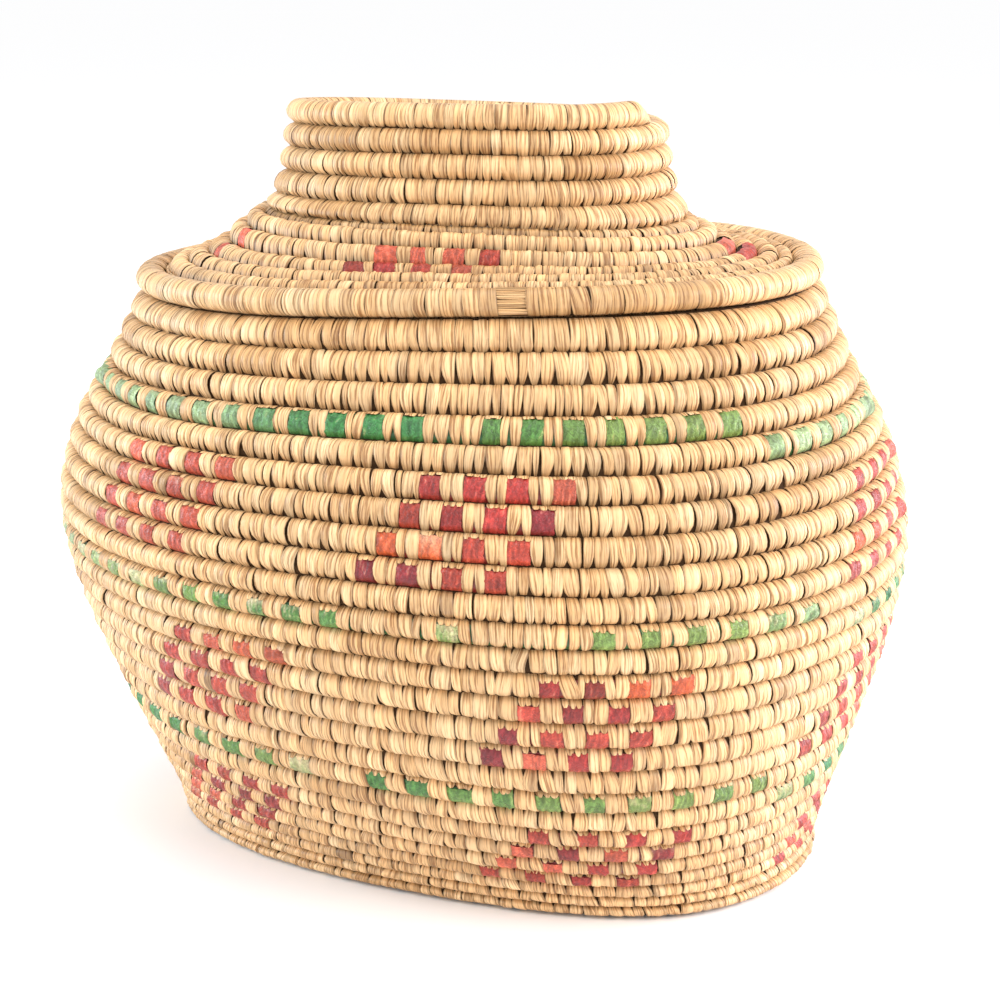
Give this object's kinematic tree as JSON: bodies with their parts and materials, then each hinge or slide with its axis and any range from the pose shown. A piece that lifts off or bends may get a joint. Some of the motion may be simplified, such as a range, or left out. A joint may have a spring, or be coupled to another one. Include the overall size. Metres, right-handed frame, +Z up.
{
  "type": "lidded coiled grass basket",
  "caption": "Oval coiled grass basket with a lift-off lid and an open collar on it, its sewn rows crossed by squares and bands of dyed gut.",
  "frame": {"origin": "on the ground, under the middle of the basket's box", "axes": "+X along the oval, to the right in the picture, +Y to the back, +Z up"},
  "size_m": [0.2538, 0.2254, 0.2216],
  "materials": {
    "straw": "dry grass, sewn",
    "straw_hidden": "dry grass, sewn",
    "green_gut": "dyed gut, satin",
    "red_gut": "dyed gut, satin"
  },
  "bodies": {
    "basket": {"base_coil": "straw_hidden", "gut_band_lower": "green_gut", "gut_band_middle": "green_gut", "gut_band_upper": "green_gut", "gut_middle_1_strip_1": "red_gut", "gut_middle_1_strip_2": "red_gut", "gut_middle_1_strip_3": "red_gut", "gut_middle_1_strip_4": "red_gut", "gut_middle_2_strip_1": "red_gut", "gut_middle_2_strip_2": "red_gut", "gut_middle_2_strip_3": "red_gut", "gut_middle_2_strip_4": "red_gut", "gut_middle_3_strip_1": "red_gut", "gut_middle_3_strip_2": "red_gut", "gut_middle_3_strip_3": "red_gut", "gut_middle_3_strip_4": "red_gut", "gut_middle_4_strip_1": "red_gut", "gut_middle_4_strip_2": "red_gut", "gut_middle_4_strip_3": "red_gut", "gut_middle_4_strip_4": "red_gut", "gut_middle_5_strip_1": "red_gut", "gut_middle_5_strip_2": "red_gut", "gut_middle_5_strip_3": "red_gut", "gut_middle_5_strip_4": "red_gut", "gut_middle_6_strip_1": "red_gut", "gut_middle_6_strip_2": "red_gut", "gut_middle_6_strip_3": "red_gut", "gut_middle_6_strip_4": "red_gut", "gut_upper_1_strip_1": "red_gut", "gut_upper_1_strip_2": "red_gut", "gut_upper_1_strip_3": "red_gut", "gut_upper_1_strip_4": "red_gut", "gut_upper_2_strip_1": "red_gut", "gut_upper_2_strip_2": "red_gut", "gut_upper_2_strip_3": "red_gut", "gut_upper_2_strip_4": "red_gut", "gut_upper_3_strip_1": "red_gut", "gut_upper_3_strip_2": "red_gut", "gut_upper_3_strip_3": "red_gut", "gut_upper_3_strip_4": "red_gut", "gut_upper_4_strip_1": "red_gut", "gut_upper_4_strip_2": "red_gut", "gut_upper_4_strip_3": "red_gut", "gut_upper_4_strip_4": "red_gut", "gut_upper_5_strip_1": "red_gut", "gut_upper_5_strip_2": "red_gut", "gut_upper_5_strip_3": "red_gut", "gut_upper_5_strip_4": "red_gut", "gut_upper_6_strip_1": "red_gut", "gut_upper_6_strip_2": "red_gut", "gut_upper_6_strip_3": "red_gut", "gut_upper_6_strip_4": "red_gut", "wall_coil": "straw"},
    "lid": {"lid_disc_coil": "straw", "lid_rim_coil": "straw", "lid_flange_coil": "straw_hidden", "collar_coil": "straw"}
  },
  "joints": [
    {"name": "lid_lift", "type": "slide", "parent": "basket", "child": "lid", "axis": [0, 0, 1], "range_m": [0, 0.12]}
  ]
}
